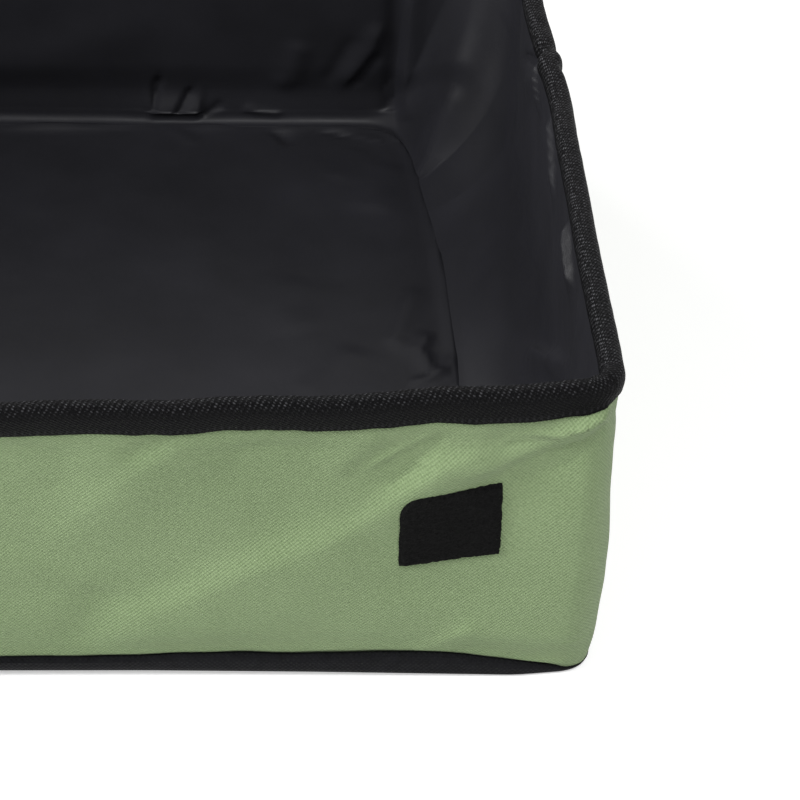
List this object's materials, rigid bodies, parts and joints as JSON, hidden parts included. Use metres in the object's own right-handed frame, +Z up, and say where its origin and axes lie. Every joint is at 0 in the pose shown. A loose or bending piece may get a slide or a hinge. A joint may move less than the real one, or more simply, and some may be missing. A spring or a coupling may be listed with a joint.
{
  "type": "foldable litter box",
  "caption": "Low rectangular tub of stiffened cloth with a bound rim, a coated liner and hook-and-loop patches; its walls fold flat on to the floor.",
  "frame": {"origin": "middle of the underside, on the surface that the box stands on", "axes": "+X to the right along the long side, +Y to the back, +Z up; the front wall faces -Y"},
  "size_m": [0.4058, 0.3254, 0.12],
  "materials": {
    "oxford_cloth": "sage green woven, matt",
    "base_cloth": "black woven, matt",
    "coated_liner": "black coated cloth, soft sheen",
    "binding_tape": "black ribbed tape",
    "hook_and_loop": "black fuzzy pile",
    "stiffening_board": "grey board, hidden inside"
  },
  "bodies": {
    "base": {"base_fabric": "base_cloth", "floor_board_front": "stiffening_board", "floor_board_rear": "stiffening_board", "floor_liner": "coated_liner", "front_lower_cover": "oxford_cloth", "back_lower_cover": "oxford_cloth"},
    "front_wall": {"front_board": "stiffening_board", "front_cover": "oxford_cloth", "front_liner": "coated_liner", "front_binding": "binding_tape", "front_patch_right": "hook_and_loop", "front_patch_left": "hook_and_loop"},
    "back_wall": {"back_board": "stiffening_board", "back_cover": "oxford_cloth", "back_liner": "coated_liner", "back_binding": "binding_tape", "back_patch_right": "hook_and_loop", "back_patch_left": "hook_and_loop"},
    "right_wall": {"right_board_front": "stiffening_board", "right_board_rear": "stiffening_board", "right_cover": "oxford_cloth", "right_liner": "coated_liner", "right_binding": "binding_tape"},
    "left_wall": {"left_board_front": "stiffening_board", "left_board_rear": "stiffening_board", "left_cover": "oxford_cloth", "left_liner": "coated_liner", "left_binding": "binding_tape"},
    "web_front_right": {"web_front_right_cover": "oxford_cloth", "web_front_right_liner": "coated_liner", "web_front_right_binding": "binding_tape"},
    "web_front_left": {"web_front_left_cover": "oxford_cloth", "web_front_left_liner": "coated_liner", "web_front_left_binding": "binding_tape"},
    "web_back_right": {"web_back_right_cover": "oxford_cloth", "web_back_right_liner": "coated_liner", "web_back_right_binding": "binding_tape"},
    "web_back_left": {"web_back_left_cover": "oxford_cloth", "web_back_left_liner": "coated_liner", "web_back_left_binding": "binding_tape"}
  },
  "joints": [
    {"name": "front_wall_fold", "type": "hinge", "parent": "base", "child": "front_wall", "pos_m": [0, -0.1493, 0.0179], "axis": [-1, 0, 0], "range_deg": [0, 90]},
    {"name": "back_wall_fold", "type": "hinge", "parent": "base", "child": "back_wall", "pos_m": [0, 0.1493, 0.0179], "axis": [1, 0, 0], "range_deg": [0, 90]},
    {"name": "right_wall_fold", "type": "hinge", "parent": "base", "child": "right_wall", "pos_m": [0.1943, 0, 0.0073], "axis": [0, -1, 0], "range_deg": [0, 90]},
    {"name": "left_wall_fold", "type": "hinge", "parent": "base", "child": "left_wall", "pos_m": [-0.1943, 0, 0.0073], "axis": [0, 1, 0], "range_deg": [0, 90]},
    {"name": "web_front_right_fold", "type": "hinge", "parent": "front_wall", "child": "web_front_right", "pos_m": [0.1943, -0.1493, 0.0179], "axis": [0, 0, 1], "range_deg": [0, 90], "deforming": ["web_front_right_cover", "web_front_right_liner", "web_front_right_binding"]},
    {"name": "web_front_left_fold", "type": "hinge", "parent": "front_wall", "child": "web_front_left", "pos_m": [-0.1943, -0.1493, 0.0179], "axis": [0, 0, -1], "range_deg": [0, 90], "deforming": ["web_front_left_cover", "web_front_left_liner", "web_front_left_binding"]},
    {"name": "web_back_right_fold", "type": "hinge", "parent": "back_wall", "child": "web_back_right", "pos_m": [0.1943, 0.1493, 0.0179], "axis": [0, 0, -1], "range_deg": [0, 90], "deforming": ["web_back_right_cover", "web_back_right_liner", "web_back_right_binding"]},
    {"name": "web_back_left_fold", "type": "hinge", "parent": "back_wall", "child": "web_back_left", "pos_m": [-0.1943, 0.1493, 0.0179], "axis": [0, 0, 1], "range_deg": [0, 90], "deforming": ["web_back_left_cover", "web_back_left_liner", "web_back_left_binding"]}
  ],
  "couplings": [
    {"joint": "back_wall_fold", "follows": "front_wall_fold", "ratio": 1},
    {"joint": "right_wall_fold", "follows": "front_wall_fold", "ratio": 1},
    {"joint": "left_wall_fold", "follows": "front_wall_fold", "ratio": 1},
    {"joint": "web_front_right_fold", "follows": "front_wall_fold", "ratio": 1},
    {"joint": "web_front_left_fold", "follows": "front_wall_fold", "ratio": 1},
    {"joint": "web_back_right_fold", "follows": "front_wall_fold", "ratio": 1},
    {"joint": "web_back_left_fold", "follows": "front_wall_fold", "ratio": 1}
  ]
}
